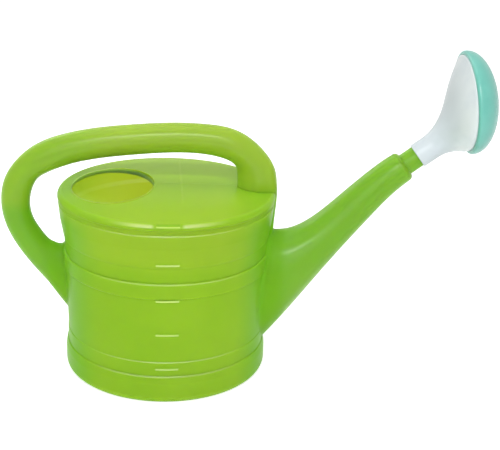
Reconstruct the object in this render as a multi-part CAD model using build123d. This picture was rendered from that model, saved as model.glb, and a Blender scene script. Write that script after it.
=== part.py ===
from build123d import *
import math
import os

# ------------------------------------------------------------------ frame
# Millimetres. +Z is up, +X points from the tank towards the spout, and the
# level marks face -Y. The origin is the centre of the tank's foot, on the
# ground. Every freeform outline lies in the can's plane of symmetry, y = 0,
# so its points are written as (x, z).

# ------------------------------------------------------------------ driving dimensions
wall = 2.2  # blow-moulded wall of the can
rose_wall = 1.8  # injection-moulded wall of the rose

# tank
side_radius_low = 117.4  # wall just above the base band
side_radius_high = 122.8  # wall under the crown
side_top = 207.0  # height of the plain side inside the crown
foot_radius = 103.0  # inner edge of the ring that the can stands on
foot_slope = 6.0  # width of the slope from that ring up to the floor
base_radius = 122.0
base_height = 34.6
base_taper_start = 25.0  # the base ring leans in from here up to its top edge
base_edge_radius = 120.5  # the ring's top edge
base_edge_height = 33.2
base_edge_round = 8.0
base_push_up = 3.5
skirt_radius = 119.2  # slightly proud band above the base
skirt_top = 52.2
belt_radius = 122.9
belt_bottom = 131.5
belt_top = 149.6
belt_slope = 3.0  # height of the slopes above and below the belt
belt_round = 1.8
crown_radius = 128.8  # widest ring, at the shoulder
crown_flare_radius = 126.4  # the flare, two thirds of the way up
crown_flare_height = 191.0
crown_lip_radius = 128.0  # rounded lip under the groove
crown_lip_height = 208.2
groove_radius = 127.2  # the groove under the shoulder ring
groove_bottom = 209.4
groove_top = 213.8
crown_bottom = 166.0
crown_blend = 4.0  # height over which the flare leaves the side
shoulder_step = 214.9  # lower edge of the shoulder ring
shoulder_height = 222.0
shoulder_round = 6.0
deck_rise = 6.0  # crown of the domed deck over the shoulder

# filling mouth, an ellipse cut in the rear of the deck
mouth_x = -63.5
mouth_half_length = 48.5
mouth_half_width = 65.0
mouth_lip = 1.6
mouth_lip_rise = 0.6

# level marks: one bar for every two litres
mark_count = 5
mark_first_height = 43.0
mark_pitch = 43.2
mark_width = 27.0
mark_height = 2.6
mark_relief = 0.9
mark_round = 0.7
crown_mark_radius = 123.4  # wall under the mark on the flare
top_mark_heights = (218.3, 221.6)  # the uppermost mark, on the shoulder's rounding

# spout and spigot
spigot_x = 284.45  # where the spigot leaves the spout's shoulder
spigot_z = 253.65
spigot_angle = 37.0  # above the ground
spigot_radius = 13.25
spigot_bore = 11.0
spigot_length = 34.0
spout_end_radius = 18.8
spout_end_round = 6.0
spout_root_round = 11.0
handle_root_round = 5.0

# rose
socket_start = 17.5  # along the spigot, from the shoulder
socket_end = 36.0
socket_radius = 15.2
socket_fit = 0.05  # radial running clearance on the spigot
socket_ledge = 10.5  # bore of the ledge that stops on the spigot's tip
ledge_depth = 2.0  # how far the ledge reaches into the funnel
face_x = 350.5  # centre of the rear edge of the rose's face
face_z = 330.1
face_angle = 6.0  # the face's normal, above the ground
rim_radius = 56.5  # the funnel's rim, which the face snaps over
rim_depth = 6.0  # how far the rim reaches into the face
rim_gap = 0.3
face_radius = 61.2
face_skirt = 4.0  # from the rear edge to the start of the dome
face_dome = 31.2
face_edge_round = 3.4  # the rear edge rolls in to the rim
hole_radius = 0.8
hole_rings = 5
hole_ring_pitch = 9.6

# where the one-piece can is divided into nodes
spout_cut_x = 138.0
handle_cut_z = 234.0
handle_cut_station = 2  # the hoop at whose plane the handle leaves its rear root
deck_cut_z = 190.0

reach = 1000.0  # larger than the can, for cutting tools

# ------------------------------------------------------------------ freeform stations
# Each station is a hoop across the tube: (upper or outer point), (lower or
# inner point), half width across the can.
spout_stations = [
    ((104, 167), (104, 15), 45.0),
    ((131, 169.2), (131, 45), 41.0),
    ((150.4, 171.2), (165.4, 88.5), 36.0),
    ((168.7, 180), (195.2, 127), 30.5),
    ((191.1, 197.8), (226, 165), 25.0),
    ((232, 235.9), (260.3, 205.8), 21.0),
]
handle_stations = [
    ((-112, 62), (-112, 158), 24.0),
    ((-125, 78), (-124, 151.5), 20.0),
    ((-143.1, 104.2), (-134.6, 153.5), 17.6),
    ((-160.5, 125.6), (-142.5, 159.3), 17.0),
    ((-177.4, 150.2), (-151, 171.3), 17.0),
    ((-189.7, 176.2), (-158.4, 186), 17.0),
    ((-194.5, 205.6), (-160.8, 205.8), 17.0),
    ((-185, 241.8), (-153.7, 229.3), 17.0),
    ((-159.7, 269.1), (-141.5, 239.7), 17.0),
    ((-123.8, 285.7), (-114.8, 250.6), 17.3),
    ((-41, 298.9), (-38.4, 263.4), 17.5),
    ((48, 300.1), (45.9, 264.5), 17.5),
    ((87.9, 290), (72.6, 257), 17.5),
    ((115.1, 267.4), (81.6, 248.2), 17.5),
    ((128, 246), (82.9, 239.8), 17.8),
    ((130.4, 234), (83.2, 234), 18.2),
    ((131.2, 226), (83.3, 226), 18.7),
]
leg_stations = [
    ((129.9, 240), (83.1, 240), 18.0),
    ((130.4, 234), (83.2, 234), 18.2),
    ((131.4, 222), (83.4, 222), 19.0),
    ((131.3, 208), (83.7, 208), 20.3),
    ((130.3, 195), (84, 195), 21.3),
    ((129.2, 181), (84, 181), 22.5),
    ((128.8, 166), (84, 166), 23.5),
]
rose_stations = [
    ((319.7, 307.8), (333.7, 269.6), 21.5),
    ((329.6, 338.5), (340.8, 271.8), 34.5),
    ((336.5, 366), (347.9, 272.2), 47.0),
]

spigot_axis = Vector(math.cos(math.radians(spigot_angle)), 0, math.sin(math.radians(spigot_angle)))
spigot_root = Vector(spigot_x, 0, spigot_z)
face_normal = Vector(math.cos(math.radians(face_angle)), 0, math.sin(math.radians(face_angle)))
face_centre = Vector(face_x, 0, face_z)


# ------------------------------------------------------------------ helpers
def turned(points, rounds):
    """A solid turned about +Z from an open (radius, height) outline that starts and ends on the axis."""
    outline = FilletPolyline(*points, radius=rounds)
    close = Line(points[-1], points[0])
    return revolve(Plane.XZ * make_face([*outline.edges(), close]), Axis.Z)


def oval(centre, normal, half_width, half_height):
    """An elliptical section on an axis. A stretched circle, so that every section starts at the same side."""
    plane = Plane(origin=centre, x_dir=(0, 1, 0), z_dir=normal)
    return plane * scale(Circle(1).face(), by=(half_width, half_height, 1))


def hoop(upper, lower, half_width, inset=0.0):
    """An elliptical section whose height runs between two points of the plane of symmetry."""
    across = Vector(upper[0] - lower[0], 0, upper[1] - lower[1])
    centre = Vector((upper[0] + lower[0]) / 2, 0, (upper[1] + lower[1]) / 2)
    along = Vector(0, 1, 0).cross(across)
    return oval(centre, along, half_width - inset, across.length / 2 - inset)


def disc(centre, normal, radius):
    """A round section at a point of an axis."""
    return oval(centre, normal, radius, radius)


def rod(start, end, radius):
    """A cylinder between two distances along the spigot's axis, from the spout's shoulder."""
    plane = Plane(origin=spigot_root + spigot_axis * start, z_dir=spigot_axis)
    return extrude(plane * Circle(radius), end - start)


def block(x=(-reach, reach), z=(-reach, reach)):
    """A box that spans the whole width of the can, for dividing it."""
    size_x = x[1] - x[0]
    size_z = z[1] - z[0]
    centre = ((x[0] + x[1]) / 2, 0, (z[0] + z[1]) / 2)
    return Pos(*centre) * Box(size_x, 2 * reach, size_z)


def cap_arc(radius, rise, height):
    """The outline of a spherical cap from its edge to its crown, as (radius, height)."""
    ball = (radius**2 + rise**2) / (2 * rise)
    half = radius / 2
    half_height = height + rise - ball + math.sqrt(ball**2 - half**2)
    return ThreePointArc((radius, height), (half, half_height), (0, height + rise))


def beyond_root():
    """The half space behind the handle's rear root, outside the tank."""
    upper, lower, _ = handle_stations[handle_cut_station]
    across = Vector(lower[0] - upper[0], 0, lower[1] - upper[1])
    plane = Plane(origin=(upper[0], 0, upper[1]), x_dir=(0, 1, 0), z_dir=across.cross(Vector(0, 1, 0)))
    return extrude(plane * Rectangle(2 * reach, 2 * reach), reach)


def edges_within(part, x, z):
    """The edges that lie inside an upright slab: those where two forms meet."""
    found = []
    for edge in part.edges():
        box = edge.bounding_box()
        inside_x = x[0] < box.min.X and box.max.X < x[1]
        inside_z = z[0] < box.min.Z and box.max.Z < z[1]
        if inside_x and inside_z and edge.geom_type not in (GeomType.LINE, GeomType.CIRCLE):
            found.append(edge)
    return found


# ------------------------------------------------------------------ the can, outside and inside
def side_wall(inset):
    """The plain tapered side that the spout and the handle grow out of."""
    low = base_push_up + inset
    outline = [
        (0, low),
        (side_radius_low - inset, low),
        (side_radius_high - inset, side_top),
        (0, side_top),
    ]
    return revolve(Plane.XZ * make_face(Polyline(*outline, close=True)), Axis.Z)


def base_band(inset):
    """The stepped foot: a pushed-up floor, a standing ring, a rounded edge and a proud band."""
    floor = base_push_up + inset
    points = [
        (0, floor),
        (foot_radius - foot_slope, floor),
        (foot_radius, inset),
        (base_radius - inset, inset),
        (base_radius - inset, base_taper_start),
        (base_edge_radius - inset, base_edge_height),
        (skirt_radius - inset, base_height),
        (skirt_radius - inset, skirt_top - 1),
        (side_radius_low - inset - 1, skirt_top + 1.5),
        (0, skirt_top + 1.5),
    ]
    return turned(points, [3.0, 3.0, base_edge_round - inset, 15.0, 1.2, 0.8, 1.2, 0.5])


def belt(inset):
    """The shallow raised belt round the middle."""
    points = [
        (0, belt_bottom - belt_slope),
        (side_radius_low - inset, belt_bottom - belt_slope),
        (belt_radius - inset, belt_bottom),
        (belt_radius - inset, belt_top),
        (side_radius_low - inset, belt_top + belt_slope),
        (0, belt_top + belt_slope),
    ]
    return turned(points, [0.5, belt_round, belt_round, 0.5])


def crown(inset, lift=0.0):
    """The flared upper band, the groove, the stepped shoulder and the domed deck."""
    top = shoulder_height - inset + lift
    rim = crown_radius - inset
    dome_edge = rim - shoulder_round - 1
    flare = [
        (0, crown_bottom),
        (side_radius_high - inset - 1.6, crown_bottom),
        (side_radius_high - inset, crown_bottom + crown_blend),
        (crown_flare_radius - inset, crown_flare_height),
        (crown_lip_radius - inset, crown_lip_height),
        (groove_radius - inset, groove_bottom),
        (groove_radius - inset, groove_top),
        (rim, shoulder_step),
        (rim, top),
        (dome_edge, top),
    ]
    rounds = [1.0, 9.0, 16.0, 0.6, 0.5, 0.3, 0.4, shoulder_round - inset / 2]
    outline = FilletPolyline(*flare, radius=rounds)
    dome = cap_arc(dome_edge, deck_rise, top)
    axis = Line((0, top + deck_rise), (0, crown_bottom))
    return revolve(Plane.XZ * make_face([*outline.edges(), dome, axis]), Axis.Z)


def spout_form(inset):
    """The tapering spout, from inside the tank to the shoulder under the spigot."""
    sections = [hoop(upper, lower, width, inset) for upper, lower, width in spout_stations]
    end = spigot_root - spigot_axis * 8
    sections.append(disc(end, spigot_axis, spout_end_radius - inset))
    return loft(sections)


def handle_root(inset):
    """The handle's rear end, from inside the tank to just beyond its root."""
    stations = handle_stations[: handle_cut_station + 2]
    return loft([hoop(upper, lower, width, inset) for upper, lower, width in stations])


def handle_form(inset):
    """The hollow handle: up from the tank's back, over the deck and down to the shoulder."""
    stations = handle_stations[handle_cut_station - 1 :]
    return loft([hoop(upper, lower, width, inset) for upper, lower, width in stations])


def front_leg(inset):
    """The handle's front foot, down through the deck and over the shoulder ring."""
    return loft([hoop(upper, lower, width, inset) for upper, lower, width in leg_stations])


def body_outside():
    """The filled body of the can with the spout and the handle growing out of it."""
    body = side_wall(0) + spout_form(0)
    body = fillet(edges_within(body, (90, 140), (10, 200)), spout_root_round)
    body = body + handle_root(0)
    body = fillet(edges_within(body, (-135, -90), (40, 185)), handle_root_round)
    return body + base_band(0) + belt(0) + crown(0)


def body_inside():
    """The space inside that body, which the moulding's wall surrounds."""
    space = side_wall(wall) + base_band(wall) + belt(wall) + crown(wall)
    return space + spout_form(wall) + handle_root(wall)


def spigot_outside():
    """The rounded end of the spout and the spigot that stands on it, filled."""
    shoulder = rod(-9, 0, spout_end_radius)
    rim = shoulder.edges().sort_by(Axis(spigot_root, spigot_axis))[-1]
    shoulder = fillet(rim, spout_end_round)
    spigot = rod(-4, spigot_length, spigot_radius)
    tip = spigot.edges().sort_by(Axis(spigot_root, spigot_axis))[-1]
    return shoulder + chamfer(tip, 0.8)


def spigot_inside():
    """The bore through the spigot and the end of the spout."""
    return rod(-9, -wall, spout_end_radius - wall) + rod(-4, spigot_length + 1, spigot_bore)


def mouth_prism(grow):
    """An upright elliptical prism through the deck, over the filling mouth."""
    base = Plane.XY.offset(shoulder_height - 12)
    outline = Pos(mouth_x, 0) * Ellipse(mouth_half_length + grow, mouth_half_width + grow)
    return extrude(base * outline, 26)


def mouth_rim():
    """The low lip round the mouth, which follows the dome of the deck."""
    rim = (mouth_prism(mouth_lip) & crown(0, mouth_lip_rise)) - mouth_prism(0)
    return rim - block(z=(-reach, shoulder_height - wall))


def mark_window(radius, height, depth=3.2):
    """The upright window on the near side that bounds a level mark."""
    return Pos(0, -radius, 0) * Box(mark_width, depth, height)


def level_mark(index):
    """A short raised bar with rounded edges on the near side; there is one for each two litres."""
    height = mark_first_height + index * mark_pitch
    radius = side_radius_low + (side_radius_high - side_radius_low) * height / side_top
    if height < skirt_top:
        radius = skirt_radius
    if belt_bottom - mark_height < height < belt_top:
        radius = belt_radius
    if height > crown_bottom:
        radius = crown_mark_radius
    proud = radius + mark_relief
    edge = mark_height / 2
    bar = turned([(0, -edge), (proud, -edge), (proud, edge), (0, edge)], [mark_round, mark_round])
    return Pos(0, 0, height) * (bar & mark_window(radius, mark_height))


def top_mark():
    """The uppermost level mark, which follows the rounding of the shoulder."""
    low, high = top_mark_heights
    window = mark_window(crown_radius - shoulder_round / 2, high - low, shoulder_round + 2)
    return (Pos(0, 0, (low + high) / 2) * window & crown(-mark_relief)) - crown(wall / 2)


def spout_node():
    """The spout from just outside its root to the tip of the spigot."""
    region = block(x=(spout_cut_x, reach))
    outside = (spout_form(0) & region) + spigot_outside()
    return outside - spout_form(wall) - spigot_inside()


def handle_node():
    """The hollow handle outside the tank and above the deck."""
    inner = block(z=(-reach, handle_cut_z)) - beyond_root()
    return handle_form(0) - inner - handle_form(wall)


def deck_node():
    """The shoulder ring, the domed deck, its mouth and the foot of the front leg."""
    above = block(z=(deck_cut_z, reach))
    outside = (crown(0) & above) + (front_leg(0) & block(z=(deck_cut_z, handle_cut_z)))
    leg_space = front_leg(wall) & block(z=(shoulder_height - wall, reach))
    return outside - crown(wall) - leg_space - mouth_prism(0) + mouth_rim() + top_mark()


def tank_node():
    """The tank's side and floor, with the roots of the spout and of the handle."""
    shell = body_outside() + front_leg(0) - body_inside()
    shell = (shell & block(x=(-reach, spout_cut_x), z=(-reach, deck_cut_z))) - beyond_root()
    for index in range(mark_count - 1):
        shell = shell + level_mark(index)
    return shell


def can_nodes():
    """The can divided where its forms meet, so that each node is a simple open shape."""
    return {
        "spout": spout_node(),
        "handle": handle_node(),
        "deck": deck_node(),
        "tank": tank_node(),
    }


# ------------------------------------------------------------------ the rose
def rose_socket():
    """The sleeve of the rose that slides over the spigot and stops on its tip."""
    sleeve = rod(socket_start, socket_end, socket_radius)
    bore = rod(socket_start, spigot_length, spigot_radius + socket_fit)
    return sleeve - bore - rod(spigot_length, socket_end, socket_ledge)


def funnel_form(inset):
    """The oblique funnel between the sleeve and the rim, as a filled form."""
    start = spigot_root + spigot_axis * socket_end
    sections = [disc(start, spigot_axis, socket_radius - inset)]
    sections.append(disc(start + spigot_axis * 5, spigot_axis, socket_radius + 0.3 - inset))
    sections += [hoop(upper, lower, width, inset) for upper, lower, width in rose_stations]
    sections.append(disc(face_centre - face_normal, face_normal, rim_radius - inset))
    return loft(sections)


def along_face(start, end, radius):
    """A cylinder between two distances along the face's normal, from the skirt's rear edge."""
    plane = Plane(origin=face_centre + face_normal * start, z_dir=face_normal)
    return extrude(plane * Circle(radius), end - start)


def rose_funnel():
    """The white funnel, open at its rim, with the rim's short cylinder that the face snaps over."""
    outside = funnel_form(0) + along_face(-1, rim_depth, rim_radius)
    inside = funnel_form(rose_wall) + along_face(-1, rim_depth + 1, rim_radius - rose_wall)
    ledge = rod(socket_end - 1, socket_end + ledge_depth, socket_radius)
    throat = rod(socket_end - 1, socket_end + ledge_depth + 1, socket_ledge)
    return outside - (inside - ledge) - throat


def face_shell():
    """The domed cap, whose rear edge rolls in to the funnel's rim, turned about the face's own axis."""
    rim = rim_radius + rim_gap
    inner_radius = face_radius - rose_wall
    outer = FilletPolyline((rim, 0), (face_radius, 0), (face_radius, face_skirt), radius=face_edge_round)
    dome = EllipticalCenterArc((0, face_skirt), face_radius, face_dome, arc_size=90)
    axis = Line((0, face_skirt + face_dome), (0, face_skirt + face_dome - rose_wall))
    inner_dome = EllipticalCenterArc((0, face_skirt), inner_radius, face_dome - rose_wall, arc_size=90)
    inner_corner = [(inner_radius, face_skirt), (inner_radius, rose_wall), (rim, rose_wall)]
    inner = FilletPolyline(*inner_corner, radius=face_edge_round - rose_wall)
    close = Line((rim, rose_wall), (rim, 0))
    outline = [*outer.edges(), dome, axis, inner_dome, *inner.edges(), close]
    return revolve(Plane.XZ * make_face(outline), Axis.Z)


def face_holes():
    """Straight fine holes in rings, all drilled along the face's axis."""
    places = [(0.0, 0.0)]
    for ring in range(1, hole_rings + 1):
        count = 6 * ring
        for i in range(count):
            turn = 2 * math.pi * (i + 0.5 * (ring % 2)) / count
            places.append((ring * hole_ring_pitch * math.cos(turn), ring * hole_ring_pitch * math.sin(turn)))
    return [Pos(x, y, 0) * Cylinder(hole_radius, 2 * (face_skirt + face_dome)) for x, y in places]


def rose_face():
    """The domed, perforated face that snaps over the funnel's rim."""
    perforated = face_shell() - face_holes()
    return Plane(origin=face_centre, x_dir=(0, 1, 0), z_dir=face_normal) * perforated


# ------------------------------------------------------------------ write the nodes
def main():
    os.makedirs("parts", exist_ok=True)
    nodes = can_nodes()
    nodes["rose_socket"] = rose_socket()
    nodes["rose_funnel"] = rose_funnel()
    nodes["rose_face"] = rose_face()
    for name, solid in nodes.items():
        export_step(solid, f"parts/{name}.step")


main()
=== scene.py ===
import math

import bmesh
import bpy
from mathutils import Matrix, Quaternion, Vector


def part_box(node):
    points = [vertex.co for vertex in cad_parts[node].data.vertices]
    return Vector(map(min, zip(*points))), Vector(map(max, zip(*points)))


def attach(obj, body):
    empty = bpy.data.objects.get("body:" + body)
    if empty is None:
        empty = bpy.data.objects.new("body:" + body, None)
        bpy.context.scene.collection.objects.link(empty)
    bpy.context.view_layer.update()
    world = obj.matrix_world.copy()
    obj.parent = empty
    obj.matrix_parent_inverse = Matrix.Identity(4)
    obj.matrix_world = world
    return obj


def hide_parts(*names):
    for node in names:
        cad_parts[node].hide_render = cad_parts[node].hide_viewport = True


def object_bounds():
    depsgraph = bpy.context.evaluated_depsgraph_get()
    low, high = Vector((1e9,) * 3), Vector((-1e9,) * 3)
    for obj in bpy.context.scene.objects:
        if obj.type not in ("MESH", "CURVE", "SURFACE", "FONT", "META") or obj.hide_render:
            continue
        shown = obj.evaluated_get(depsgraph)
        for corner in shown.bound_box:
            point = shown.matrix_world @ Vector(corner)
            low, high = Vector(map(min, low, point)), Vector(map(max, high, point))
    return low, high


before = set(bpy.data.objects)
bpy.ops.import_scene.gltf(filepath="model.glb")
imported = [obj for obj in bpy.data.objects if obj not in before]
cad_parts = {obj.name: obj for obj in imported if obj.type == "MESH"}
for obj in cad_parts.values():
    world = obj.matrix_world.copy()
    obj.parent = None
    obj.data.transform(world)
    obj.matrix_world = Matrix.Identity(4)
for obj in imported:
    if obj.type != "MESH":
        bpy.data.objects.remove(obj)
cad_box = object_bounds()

bl_info = {
    "name": "Garden watering can",
    "version": (1, 0, 0),
    "blender": (4, 5, 0),
    "location": "3D View > Sidebar > Watering can",
    "description": "Finishes the moulded can, its rose and the studio they stand in",
    "category": "Object",
}

MM = 0.001
WHITE = (1.0, 1.0, 1.0, 1.0)


# ------------------------------------------------------------------ shader maths
class Value:
    """A socket of a node tree that can be used in sums."""

    def __init__(self, board, socket):
        self.board = board
        self.socket = socket

    def output(self, name):
        """Another output of the same node."""
        return Value(self.board, self.socket.node.outputs[name])

    def math(self, operation, *others):
        """A Math node on this value, and on others where the operation takes more."""
        return self.board.math(operation, self, *others)

    def __add__(self, other):
        return self.math("ADD", other)

    __radd__ = __add__

    def __sub__(self, other):
        return self.math("SUBTRACT", other)

    def __rsub__(self, other):
        return self.board.math("SUBTRACT", other, self)

    def __mul__(self, other):
        return self.math("MULTIPLY", other)

    __rmul__ = __mul__

    def __truediv__(self, other):
        return self.math("DIVIDE", other)

    def __pow__(self, other):
        return self.math("POWER", other)

    def __abs__(self):
        return self.math("ABSOLUTE")

    def at_least(self, other):
        """The larger of two values."""
        return self.math("MAXIMUM", other)

    def at_most(self, other):
        """The smaller of two values."""
        return self.math("MINIMUM", other)

    def smooth(self, start, end):
        """0 below start and 1 above end, with an eased step between."""
        settings = {"interpolation_type": "SMOOTHERSTEP"}
        sockets = {"Value": self, "From Min": start, "From Max": end}
        return self.board.node("ShaderNodeMapRange", settings, sockets)

    def within(self, rise, fall):
        """1 between two eased steps, each given by its start and its end."""
        return self.smooth(*rise) * (1 - self.smooth(*fall))


class Board:
    """The emptied node tree of a material or world, with its output."""

    def __init__(self, owner, output):
        owner.use_nodes = True
        self.owner = owner
        self.tree = owner.node_tree
        self.tree.nodes.clear()
        self.surface = self.tree.nodes.new(output).inputs["Surface"]

    def put(self, socket, value):
        """Sets a socket to a number or colour, or links it."""
        if isinstance(value, Value):
            self.tree.links.new(value.socket, socket)
        else:
            socket.default_value = value

    def node(self, kind, settings=None, sockets=None, out=0):
        """Adds a node: its settings first, then the values or links of its sockets."""
        node = self.tree.nodes.new(kind)
        for key, setting in (settings or {}).items():
            setattr(node, key, setting)
        for key, value in (sockets or {}).items():
            self.put(node.inputs[key], value)
        return Value(self, node.outputs[out])

    def math(self, operation, *values):
        """A Math node."""
        return self.node("ShaderNodeMath", {"operation": operation}, dict(enumerate(values)))

    def place(self):
        """The point of the surface in the object's own frame, in metres."""
        return self.node("ShaderNodeTexCoord", out="Object")

    def parts(self, point):
        """The x, y and z of a point."""
        x = self.node("ShaderNodeSeparateXYZ", sockets={"Vector": point})
        return x, x.output("Y"), x.output("Z")

    def noise(self, point, scale, detail=2.0, roughness=0.5, stretch=None):
        """Soft noise from 0 to 1, with scale in waves a metre."""
        if stretch:
            point = self.node("ShaderNodeMapping", sockets={"Vector": point, "Scale": stretch})
        sockets = {"Vector": point, "Scale": scale, "Detail": detail, "Roughness": roughness}
        return self.node("ShaderNodeTexNoise", sockets=sockets)

    def mix(self, factor, first, second):
        """A colour between two colours: the Mix node's colour sockets are its inputs 6 and 7."""
        sockets = {"Factor": factor, 6: first, 7: second}
        return self.node("ShaderNodeMix", {"data_type": "RGBA"}, sockets, out=2)

    def relief(self, height, distance, normal=None):
        """A normal from a height of 0 to 1 over a distance in metres, on top of another normal."""
        sockets = {"Height": height, "Distance": distance}
        if normal is not None:
            sockets["Normal"] = normal
        return self.node("ShaderNodeBump", sockets=sockets)

    def background(self, strength):
        """White light from everywhere."""
        return self.node("ShaderNodeBackground", sockets={"Color": WHITE, "Strength": strength})

    def principled(self, **sockets):
        """A Principled shader, whose sockets are named with _ for a space."""
        named = {key.replace("_", " "): value for key, value in sockets.items()}
        return self.node("ShaderNodeBsdfPrincipled", sockets=named)

    def blend(self, factor, first, second):
        """A shader between two shaders."""
        return self.node("ShaderNodeMixShader", sockets={0: factor, 1: first, 2: second})

    def seen(self):
        """1 for the rays of the camera, of gloss and of clear plastic."""
        camera = self.node("ShaderNodeLightPath", out="Is Camera Ray")
        gloss = camera.output("Is Glossy Ray")
        clear = camera.output("Is Transmission Ray")
        return camera.at_least(gloss).at_least(clear)

    def finish(self, shader):
        """Links the shader to the output, and gives the material or world."""
        self.put(self.surface, shader)
        return self.owner


def material_board(name):
    """The node tree of a new material."""
    return Board(bpy.data.materials.new(name), "ShaderNodeOutputMaterial")


def colour(r, g, b):
    """A linear colour from one written on the 0 to 255 screen scale."""
    parts = [c / 255 for c in (r, g, b)]
    linear = [c / 12.92 if c <= 0.04045 else ((c + 0.055) / 1.055) ** 2.4 for c in parts]
    return (*linear, 1.0)


# ------------------------------------------------------------------ what a user may change
class CanSettings(bpy.types.PropertyGroup):
    """The blow-moulded can."""

    green: bpy.props.FloatVectorProperty(
        name="Green", description="Colour of the can",
        subtype="COLOR", size=4, min=0, max=1, default=colour(143, 197, 42),
    )
    shade: bpy.props.FloatVectorProperty(
        name="Cloud green", description="Colour of the slow clouds in the can's green",
        subtype="COLOR", size=4, min=0, max=1, default=colour(135, 191, 36),
    )
    # Deeper green towards the roots of handle and spout: partly their thicker wall, partly painted
    # shade.
    deep_and_shade: bpy.props.FloatVectorProperty(
        name="Root green", description="Colour towards the thick roots of handle and spout",
        subtype="COLOR", size=4, min=0, max=1, default=colour(108, 182, 30),
    )
    roughness: bpy.props.FloatProperty(
        name="Roughness", description="Roughness of the can",
        subtype="FACTOR", default=0.36, min=0, max=1,
    )
    peel: bpy.props.FloatProperty(
        name="Peel", description="Depth of the fine orange peel",
        subtype="DISTANCE", unit="LENGTH", default=0.00003,
    )
    scuff_height: bpy.props.FloatProperty(
        name="Scuff height", description="Height at which the scuffs of the foot end",
        subtype="DISTANCE", unit="LENGTH", default=0.014,
    )
    seam_width: bpy.props.FloatProperty(
        name="Seam width", description="Half the width of the mould's parting line",
        subtype="DISTANCE", unit="LENGTH", default=0.0008,
    )


class RoseSettings(bpy.types.PropertyGroup):
    """The pull-off rose."""

    white: bpy.props.FloatVectorProperty(
        name="White", description="Colour of the funnel",
        subtype="COLOR", size=4, min=0, max=1, default=colour(216, 224, 226),
    )
    teal: bpy.props.FloatVectorProperty(
        name="Teal", description="Colour of the perforated face",
        subtype="COLOR", size=4, min=0, max=1, default=colour(108, 182, 168),
    )
    roughness: bpy.props.FloatProperty(
        name="Roughness", description="Roughness of the rose",
        subtype="FACTOR", default=0.3, min=0, max=1,
    )


class StudioSettings(bpy.types.PropertyGroup):
    """The camera of the studio."""

    distance: bpy.props.FloatProperty(
        name="Distance", description="From the camera to the middle of its view",
        subtype="DISTANCE", unit="LENGTH", default=1.32,
    )
    elevation: bpy.props.FloatProperty(
        name="Elevation", description="Of the camera above the horizon",
        subtype="ANGLE", unit="ROTATION", default=math.radians(20.2),
    )
    turn: bpy.props.FloatProperty(
        name="Turn", description="Of the camera round the can",
        subtype="ANGLE", unit="ROTATION", default=math.radians(5.3),
    )
    roll: bpy.props.FloatProperty(
        name="Roll", description="Of the camera about its own axis",
        subtype="ANGLE", unit="ROTATION", default=math.radians(2.06),
    )
    lens: bpy.props.FloatProperty(
        name="Lens", description="Focal length in millimetres", default=79.2,
    )


# ------------------------------------------------------------------ the can's features
# Where they lie, in metres in the can's own frame. Reach is the distance from the tank's upright
# axis. A pair is where an eased step starts and where it ends.
STANDING_RING = (0.092, 0.106)  # reach, from the pushed-up floor to the ring that the can stands on
PINCH_TOP = (0.0072, 0.008)  # height at which the pinch-off line under the base ends
BAND_TOPS = (0.2078, 0.1488, 0.0515, 0.0335)  # heights: crown's lip, belt, skirt and base ring
BAND_LINE = (0.0003, 0.0013)
BAND_SIDE = (0.1166, 0.1183)  # reach, from the inner wall to the outer one
BAND_FADE = (0.04, 0.1)  # x, to either side, over which the painted highlight on the band tops fades

LEVEL_MARKS = (0.0430, 0.0862, 0.1294, 0.1726)  # heights of the four marks on the side, painted with a highlight
MARK_LINE = (0.0006, 0.0015)
MARK_ENDS = (0.0122, 0.0136)  # x, to either side
MARKED_SIDE = (-0.1, -0.09)  # y, on the near side
TOP_MARK = 0.2196  # height of the fifth mark, on the shoulder's rounding, painted with a highlight
TOP_MARK_LINE = (0.0004, 0.0010)
TOP_MARK_RIM = 0.2212  # height of its upper rim, painted with a line of shade
TOP_MARK_RIM_LINE = (0.0002, 0.0007)
TOP_MARK_REACH = (0.118, 0.122)

SHOULDER = 0.218  # height of the shoulder's rounding, darkened with painted shade where the lamps light it most
SHOULDER_LINE = (0.0025, 0.0045)
SHOULDER_REACH = ((0.116, 0.122), (0.13, 0.132))
STREAK_LINE = (0.0003, 0.0026)  # the painted highlight streaks lie at the height of the fifth mark
STREAK_ENDS = ((0.0135, 0.02), (0.02, 0.075))  # x, to either side
DECK_LINE_X = 0.017  # the fine line across the deck
DECK_LINE_HEIGHTS = ((0.198, 0.216), (0.234, 0.238))
DECK_LINE_START = (-0.085, -0.05)  # y
SEAM_EDGE = (0.25, 1.0)  # how far from the middle of a line its edge starts and ends, in widths
PINCH_EDGE = (0.6, 3.0)
DECK_LINE_EDGE = (0.5, 2.5)

HELD_REACH = (0.135, 0.15)  # handle and spout stand out from the tank
HELD_HEIGHT = (0.228, 0.238)  # or above the deck
SPOUT_X = (0.13, 0.16)
ROOTS_X = (0.07, 0.118)  # x, to either side: deeper green towards handle and spout, thicker wall and painted shade
ROOTS_TOP = (0.19, 0.215)  # height at which that fades
ROOTS_FADE = 0.85  # by how much it fades there
SPOUT_SHARE = 0.85  # how much of the deeper green and painted shade the spout keeps beside the roots
CROWN_HEIGHT = (0.15, 0.185)  # where painted light pales the green towards the crown
CROWN_X = (0.05, 0.115)
DECK_HEIGHT = (0.2225, 0.228)  # the front of the domed deck, above which deck, leg and handle get painted light
DECK_X = (-0.08, 0.02)

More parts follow.
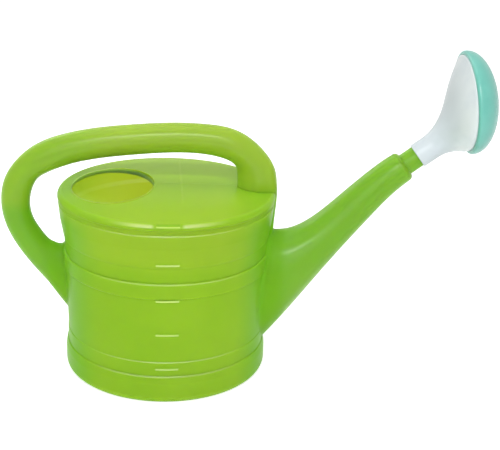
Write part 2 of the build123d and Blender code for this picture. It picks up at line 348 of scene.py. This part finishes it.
MOUTH_X = -0.0635  # middle of the oval mouth
MOUTH_HALF = (0.0485, 0.065)  # half its length and half its width
MOUTH_EDGE = (1.005, 1.03)  # of the sum of squares that is 1 on the oval
MOUTH_HEIGHTS = ((0.2160, 0.2170), (0.2245, 0.2255))
WALL_MIDDLE = (0.1161, 0.0271)  # reach of the wall's middle at height 0, and its slope
FLARE_MIDDLE = (0.0946, 0.16)  # the same for the crown's flare
FLARE_END = 0.1262  # reach at which the flare ends
WALL_STEP = (-0.0003, 0.0003)
INSIDE_HEIGHTS = ((0.0035, 0.0045), (0.2165, 0.2185))
BEND = 0.192  # height of the flare's bend, seen through the mouth, where a highlight is painted
BEND_LINE = (0.0008, 0.0045)
BEND_X = (-0.1, -0.02)
BEND_REAR = 0.3  # how much of it is left behind that

# Spreads of the noises that make masks, as pairs too.
CLOUD_SPREAD = (0.25, 0.75)
SCRATCH_SPREAD = (0.5, 0.66)

# Heights of the relief, in metres.
WAVE_DEPTH = 0.0005
SEAM_RISE = 0.0002
PINCH_RISE = 0.001
DECK_LINE_RISE = 0.0001
SCUFF_DEPTH = 0.0001

# How much the features change the polish and the roughness.
HELD_POLISH = 0.3
CLOUD_ROUGHNESS = 0.06
PEEL_ROUGHNESS = 0.05
SCUFF_ROUGHNESS = 0.3

# Tints of the green, among them painted light, painted shade and painted highlights,
# what they are laid on, and how strongly.
TOP_LIGHT_GREEN = colour(170, 209, 56)  # painted light on the crown, and on deck, leg and handle top above it
SHOULDER_SHADE_GREEN = colour(124, 170, 36)  # painted shade on the shoulder's rounding, which the lamps light most
RIM_SHADE_GREEN = colour(92, 140, 26)  # painted shade along the upper rim of the fifth mark
INSIDE_LIGHT_GREEN = colour(172, 242, 124)  # painted light on the inner wall and the mouth's edge, standing in for light through the wall
BEND_HIGHLIGHT_GREEN = colour(188, 252, 170)  # painted highlight on the bend of the inner wall
HIGHLIGHT_GREEN = colour(214, 240, 140)  # painted highlight on the tops of the bands, the level marks and the streaks
LINE_GREEN = colour(182, 218, 84)  # the mould's lines
SCUFF_GREEN = colour(188, 212, 120)  # the scuffs
# The roots' tint is partly painted shade; crown, deck and inner wall get painted light; shoulder
# and the fifth mark's rim painted shade; the rest save seam, deck line and scuffs are painted
# highlights.
TINT = {
    "roots": 0.8, "painted_top_light": 0.35, "shoulder": 0.6, "top_rim_shade": 0.5, "inside": 0.65, "bend_highlight": 0.7,
    "bands": 0.15, "marks": 0.4, "streaks": 0.55, "seam": 0.25, "deck_line": 0.17, "scuffs": 0.3,
}


def level_lines(z, heights, line):
    """1 along lines at some heights; the pair says how far from each it starts and ends to fade."""
    return sum(1 - abs(z - height).smooth(*line) for height in heights)


def mould_line(distance, edge, width):
    """1 on a line, from the distance to its middle."""
    return 1 - abs(distance).smooth(edge[0] * width, edge[1] * width)


def mould_lines(x, y, z, width):
    """The parting line, the pinch-off line under the base and the fine line across the deck."""
    seam = mould_line(y, SEAM_EDGE, width)
    pinch = mould_line(y, PINCH_EDGE, width) * (1 - z.smooth(*PINCH_TOP))
    on_deck = z.within(*DECK_LINE_HEIGHTS) * y.smooth(*DECK_LINE_START)
    return seam, pinch, mould_line(x - DECK_LINE_X, DECK_LINE_EDGE, width) * on_deck


def inner_wall_light(x, z, reach):
    """Painted light on the inner wall of the tank up to its mouth, and a painted highlight along
    the crease of the crown's flare in it.
    """
    side = z * WALL_MIDDLE[1] + WALL_MIDDLE[0]
    flare = z * FLARE_MIDDLE[1] + FLARE_MIDDLE[0]
    middle = side.at_least(flare.at_most(FLARE_END))
    inside = (1 - (reach - middle).smooth(*WALL_STEP)) * z.within(*INSIDE_HEIGHTS)
    along = BEND_REAR + (1 - BEND_REAR) * x.smooth(*BEND_X)
    bend_highlight = inside * level_lines(z, (BEND,), BEND_LINE) * along
    return inside, bend_highlight


def mouth_edge_light(x, y, z):
    """Painted light on the cut edge of the deck round the oval mouth."""
    half_length, half_width = MOUTH_HALF
    oval = ((x - MOUTH_X) / half_length) ** 2 + (y / half_width) ** 2
    return (1 - oval.smooth(*MOUTH_EDGE)) * z.within(*MOUTH_HEIGHTS)


def depth_and_painted_light(x, z):
    """Deeper green towards the roots, partly a thicker wall and partly painted shade, and painted
    light on crown, deck, leg and handle top.
    """
    off_spout = 1 - x.smooth(*SPOUT_X)
    roots = abs(x).smooth(*ROOTS_X) * (1 - ROOTS_FADE * off_spout * z.smooth(*ROOTS_TOP))
    thick_and_shaded = roots * (SPOUT_SHARE + (1 - SPOUT_SHARE) * off_spout)
    crown = z.smooth(*CROWN_HEIGHT) * (1 - abs(x).smooth(*CROWN_X))
    deck = z.smooth(*DECK_HEIGHT) * x.smooth(*DECK_X) * off_spout
    return thick_and_shaded, crown.at_least(deck)


def moulded_green(settings):
    """Blow-moulded polyethylene: slow waves, fine peel, mould lines and a scuffed foot.

    Painted highlights on the tops of the bands, the level marks and the shoulder, painted shade
    on the shoulder and towards the roots, where the wall is also thicker, and painted light on
    crown, deck and inner wall are told apart by where they lie.
    """
    board = material_board("moulded_green")
    point = board.place()
    x, y, z = board.parts(point)
    reach = (x * x + y * y).math("SQRT")
    waves = board.noise(point, scale=16.0, roughness=0.45)
    peel = board.noise(point, scale=620.0, roughness=0.6)
    cloud = board.noise(point, scale=7.0, detail=3.0)
    scratches = board.noise(point, scale=240.0, detail=4.0, roughness=0.65, stretch=(1, 1, 5))

    foot = (1 - z.smooth(0.0, settings.scuff_height)) * reach.smooth(*STANDING_RING)
    scuff = foot * scratches.smooth(*SCRATCH_SPREAD)
    seam, pinch, deck_line = mould_lines(x, y, z, settings.seam_width)
    # Painted light on the inner wall, and a painted highlight on the flare's crease seen through
    # the mouth.
    inside, bend_highlight = inner_wall_light(x, z, reach)
    # Deeper green at the roots, partly thicker wall and partly painted shade; painted light on
    # crown, deck, leg and handle top.
    thick_and_shaded, painted_top_light = depth_and_painted_light(x, z)

    near = 1 - y.smooth(*MARKED_SIDE)
    in_mark = near * (1 - abs(x).smooth(*MARK_ENDS))
    # Painted highlights on the band tops and the level marks.
    outside = reach.smooth(*BAND_SIDE) * (1 - abs(x).smooth(*BAND_FADE))
    rims = level_lines(z, BAND_TOPS, BAND_LINE) * outside
    marks = level_lines(z, LEVEL_MARKS, MARK_LINE) * in_mark
    # Painted shade on the shoulder's rounding.
    shoulder = level_lines(z, (SHOULDER,), SHOULDER_LINE) * reach.within(*SHOULDER_REACH)
    # Painted highlight streaks beside the fifth mark, and a painted highlight on the mark itself.
    streak_highlight = level_lines(z, (TOP_MARK,), STREAK_LINE) * abs(x).within(*STREAK_ENDS)
    streak_highlight = streak_highlight * shoulder * near
    top_mark_highlight = level_lines(z, (TOP_MARK,), TOP_MARK_LINE) * in_mark * shoulder
    # Painted shade along the fifth mark's upper rim.
    top_rim_shade = level_lines(z, (TOP_MARK_RIM,), TOP_MARK_RIM_LINE) * in_mark
    top_rim_shade = top_rim_shade * reach.smooth(*TOP_MARK_REACH)
    held = reach.smooth(*HELD_REACH).at_least(z.smooth(*HELD_HEIGHT))
    polished = rims.at_least(marks).at_least(held * HELD_POLISH).at_least(streak_highlight)

    painted_highlight = rims * TINT["bands"] + marks * TINT["marks"] + streak_highlight * TINT["streaks"]
    base = board.mix(cloud.smooth(*CLOUD_SPREAD), settings.shade, settings.green)
    # Tints below lay painted shade, painted light and painted highlights over the green, with the
    # real seam and scuffs.
    tints = (
        (thick_and_shaded * TINT["roots"], settings.deep_and_shade),
        (painted_top_light * TINT["painted_top_light"], TOP_LIGHT_GREEN),
        (shoulder * TINT["shoulder"], SHOULDER_SHADE_GREEN),
        (top_rim_shade * TINT["top_rim_shade"], RIM_SHADE_GREEN),
        ((inside + mouth_edge_light(x, y, z)) * TINT["inside"], INSIDE_LIGHT_GREEN),
        (bend_highlight * TINT["bend_highlight"], BEND_HIGHLIGHT_GREEN),
        (painted_highlight + top_mark_highlight * TINT["marks"], HIGHLIGHT_GREEN),
        (seam * TINT["seam"] + deck_line * TINT["deck_line"], LINE_GREEN),
        (scuff * TINT["scuffs"], SCUFF_GREEN),
    )
    for amount, tint in tints:
        base = board.mix(amount, base, tint)

    normal = board.relief(waves, WAVE_DEPTH)
    reliefs = (
        (peel, settings.peel),
        (seam, SEAM_RISE),
        (pinch, PINCH_RISE),
        (deck_line, DECK_LINE_RISE),
        (scuff, -SCUFF_DEPTH),
    )
    for height, distance in reliefs:
        normal = board.relief(height, distance, normal)

    rough = settings.roughness + CLOUD_ROUGHNESS * (cloud - 0.5)
    rough = rough + PEEL_ROUGHNESS * (peel - 0.5) + SCUFF_ROUGHNESS * scuff
    return board.finish(board.principled(
        Base_Color=base, Roughness=rough, Normal=normal, IOR=1.5, Specular_IOR_Level=0.05,
        Coat_Weight=polished, Coat_Roughness=0.24,
        Subsurface_Weight=1.0, Subsurface_Radius=(0.02, 0.02, 0.006), Subsurface_Scale=1.0,
    ))


# ------------------------------------------------------------------ the rose's plastics
ROSE_PEEL_SCALE = 900.0  # waves a metre
ROSE_PEEL_DEPTH = 0.00003
ROSE_CLOUD_SPREAD = (0.35, 0.65)
ROSE_CLOUD_ROUGHNESS = 0.1
ROSE_IOR = 1.49
NECK_X = (0.325, 0.345)  # where the funnel's narrow neck ends
# Painted shade on the neck, which the lamps light more than the funnel.
NECK_SHADE = 0.8


def rose_skin(board, point, roughness, cloud_scale, cloud_depth):
    """Slow clouds in an injection moulding, its normal with a fine peel, and its roughness."""
    cloud = board.noise(point, scale=cloud_scale, detail=3.0)
    peel = board.noise(point, scale=ROSE_PEEL_SCALE)
    normal = board.relief(peel, ROSE_PEEL_DEPTH, board.relief(cloud, cloud_depth))
    rough = roughness + ROSE_CLOUD_ROUGHNESS * (cloud - 0.5)
    return cloud.smooth(*ROSE_CLOUD_SPREAD), normal, rough


def clouded_white(settings):
    """Thin injection-moulded polypropylene that lets some light through, with painted shade on its
    neck.
    """
    board = material_board("clouded_white")
    point = board.place()
    x = board.parts(point)[0]
    cloud, normal, rough = rose_skin(
        board, point, settings.roughness, cloud_scale=26.0, cloud_depth=0.0004,
    )
    base = board.mix(cloud, colour(206, 216, 220), settings.white)
    # Painted shade darkens the neck.
    base = board.mix((1 - x.smooth(*NECK_X)) * NECK_SHADE, base, colour(190, 200, 205))
    return board.finish(board.principled(
        Base_Color=base, Roughness=rough, Normal=normal, IOR=ROSE_IOR,
        Subsurface_Weight=0.35, Subsurface_Radius=(0.006, 0.006, 0.006), Subsurface_Scale=1.0,
    ))


def moulded_teal(settings):
    """Injection-moulded polypropylene in a clear pale teal."""
    board = material_board("moulded_teal")
    point = board.place()
    cloud, normal, rough = rose_skin(
        board, point, settings.roughness, cloud_scale=20.0, cloud_depth=0.0003,
    )
    base = board.mix(cloud, colour(98, 174, 160), settings.teal)
    return board.finish(board.principled(
        Base_Color=base, Roughness=rough, Normal=normal, IOR=ROSE_IOR,
        Subsurface_Weight=0.2, Subsurface_Radius=(0.003, 0.006, 0.006), Subsurface_Scale=1.0,
    ))


def dress(nodes, material):
    """Puts a material in every slot of some CAD nodes."""
    for name in nodes:
        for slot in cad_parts[name].material_slots:
            slot.link = "OBJECT"
            slot.material = material


# ------------------------------------------------------------------ the moulding
MOULDING = ("tank", "deck", "handle", "spout")
ROOT_OUTER = Vector((-143.1, 0, 104.2)) * MM  # the plane across the handle's rear root runs
ROOT_INNER = Vector((-134.6, 0, 153.5)) * MM  # through these two points
TOUCHING = 3e-6  # metres between a cut plane and the corners of a face that lies in it


def cut_planes():
    """A point and a normal of each plane on which two nodes of the moulding touch."""
    across = (ROOT_INNER - ROOT_OUTER).cross(Vector((0, 1, 0))).normalized()
    return [
        (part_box("deck")[0], Vector((0, 0, 1))),
        (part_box("deck")[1], Vector((0, 0, 1))),
        (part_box("tank")[1], Vector((1, 0, 0))),
        (ROOT_OUTER, across),
    ]


def moulding_mesh():
    """The nodes of the moulding in one mesh, without the faces on which they touch."""
    mesh = bmesh.new()
    for name in MOULDING:
        mesh.from_mesh(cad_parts[name].data)
    for point, normal in cut_planes():
        flat = [
            face for face in mesh.faces
            if all(abs((vert.co - point).dot(normal)) < TOUCHING for vert in face.verts)
        ]
        bmesh.ops.delete(mesh, geom=flat, context="FACES")
    data = bpy.data.meshes.new("moulding")
    mesh.to_mesh(data)
    mesh.free()
    return data


# ------------------------------------------------------------------ the studio
FLOOR_SIZE = 40
FLOOR_GLOW = 0.55  # light added where the floor is looked at
SKY_STRENGTH = 0.47
LAMPS = {  # place in metres, width, height, power in watts
    "strip": ((0.0, -1.6, 1.7), 1.1, 0.1, 19.0),
    "fill": ((-0.1, -1.9, 1.2), 2.0, 1.5, 17.0),
    "top": ((-0.2, 0.2, 2.2), 1.6, 1.6, 11.0),
    "back": ((-0.9, 1.5, 1.3), 1.0, 1.0, 6.0),
}
VIEW_MIDDLE = Vector((99.5, -9.2, 178.9)) * MM
SENSOR_WIDTH = 36.0  # millimetres
CLIP_START = 0.01


def floor_white():
    """A matt white floor, a little brighter where it is looked at, that keeps the shadow."""
    board = material_board("floor_white")
    grain = board.noise(board.place(), scale=60.0)
    base = board.mix(grain, colour(246, 246, 246), colour(250, 250, 250))
    matt = board.principled(Base_Color=base, Roughness=0.9)
    glow = board.node("ShaderNodeEmission", sockets={"Strength": FLOOR_GLOW})
    both = board.node("ShaderNodeAddShader", sockets={0: matt, 1: glow})
    return board.finish(board.blend(board.seen(), matt, both))


def studio_sky():
    """An even pale sky that the camera, gloss and clear plastic see as white."""
    board = Board(bpy.data.worlds.new("studio_sky"), "ShaderNodeOutputWorld")
    sky, white = board.background(SKY_STRENGTH), board.background(1.0)
    return board.finish(board.blend(board.seen(), sky, white))


def lay_floor():
    """A wide floor at the can's foot."""
    bpy.ops.mesh.primitive_plane_add(size=FLOOR_SIZE, location=(0, 0, cad_box[0].z))
    floor = bpy.context.object
    floor.name = "floor"
    floor.data.transform(floor.matrix_world)
    floor.matrix_world.identity()
    floor.data.materials.append(floor_white())


def hang_lamp(name, place, width, height, power):
    """A soft lamp that faces the middle of the can."""
    data = bpy.data.lights.new(name, "AREA")
    data.shape = "RECTANGLE"
    data.size = width
    data.size_y = height
    data.energy = power
    light = bpy.data.objects.new(name, data)
    bpy.context.scene.collection.objects.link(light)
    light.location = place
    middle = (cad_box[0] + cad_box[1]) / 2
    light.rotation_euler = (middle - Vector(place)).to_track_quat("-Z", "Y").to_euler()


def set_camera(settings):
    """A camera on a sphere round the middle of its view."""
    level = math.cos(settings.elevation)
    forward = Vector((
        math.sin(settings.turn) * level,
        math.cos(settings.turn) * level,
        -math.sin(settings.elevation),
    ))
    data = bpy.data.cameras.new("camera")
    data.lens = settings.lens
    data.sensor_width = SENSOR_WIDTH
    data.sensor_fit = "HORIZONTAL"
    data.clip_start = CLIP_START
    camera = bpy.data.objects.new("camera", data)
    bpy.context.scene.collection.objects.link(camera)
    camera.location = VIEW_MIDDLE - forward * settings.distance
    facing = forward.to_track_quat("-Z", "Y") @ Quaternion((0, 0, 1), settings.roll)
    camera.rotation_euler = facing.to_euler()
    bpy.context.scene.camera = camera


# ------------------------------------------------------------------ operators
class CAN_OT_moulding(bpy.types.Operator):
    """Join the tank, deck, handle and spout into the one moulding that they are, and finish it"""

    bl_idname = "can.moulding"
    bl_label = "Moulded can"

    def execute(self, context):
        moulding = bpy.data.objects.new("moulding", moulding_mesh())
        context.scene.collection.objects.link(moulding)
        moulding.data.materials.append(moulded_green(context.scene.can_settings))
        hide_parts(*MOULDING)
        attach(moulding, "can")
        return {"FINISHED"}


class CAN_OT_rose(bpy.types.Operator):
    """Finish the white funnel and sleeve of the rose, and its teal face"""

    bl_idname = "can.rose"
    bl_label = "Rose"

    def execute(self, context):
        settings = context.scene.rose_settings
        dress(("rose_socket", "rose_funnel"), clouded_white(settings))
        dress(("rose_face",), moulded_teal(settings))
        return {"FINISHED"}


class CAN_OT_studio(bpy.types.Operator):
    """Lay the floor, hang the lamps and set the camera"""

    bl_idname = "can.studio"
    bl_label = "Studio"

    def execute(self, context):
        lay_floor()
        context.scene.world = studio_sky()
        for name, lamp in LAMPS.items():
            hang_lamp(name, *lamp)
        set_camera(context.scene.studio_settings)
        context.scene.view_settings.view_transform = "Standard"
        return {"FINISHED"}


class CAN_PT_sidebar(bpy.types.Panel):
    """The can's pieces and its studio"""

    bl_idname = "CAN_PT_sidebar"
    bl_label = "Watering can"
    bl_space_type = "VIEW_3D"
    bl_region_type = "UI"
    bl_category = "Watering can"

    def draw(self, context):
        layout = self.layout
        for operator in OPERATORS:
            layout.operator(operator.bl_idname)
        for group in GROUPS:
            box = layout.box()
            settings = getattr(context.scene, group)
            for key in settings.__annotations__:
                box.prop(settings, key)


OPERATORS = (CAN_OT_moulding, CAN_OT_rose, CAN_OT_studio)
GROUPS = {
    "can_settings": CanSettings,
    "rose_settings": RoseSettings,
    "studio_settings": StudioSettings,
}


def register():
    for group in GROUPS.values():
        bpy.utils.register_class(group)
    for cls in (*OPERATORS, CAN_PT_sidebar):
        bpy.utils.register_class(cls)
    for name, group in GROUPS.items():
        setattr(bpy.types.Scene, name, bpy.props.PointerProperty(type=group))


def unregister():
    for name in GROUPS:
        delattr(bpy.types.Scene, name)
    for cls in (CAN_PT_sidebar, *reversed(OPERATORS), *GROUPS.values()):
        bpy.utils.unregister_class(cls)


def main():
    register()
    bpy.ops.can.moulding()
    bpy.ops.can.rose()
    bpy.ops.can.studio()


if __name__ == "__main__":
    main()
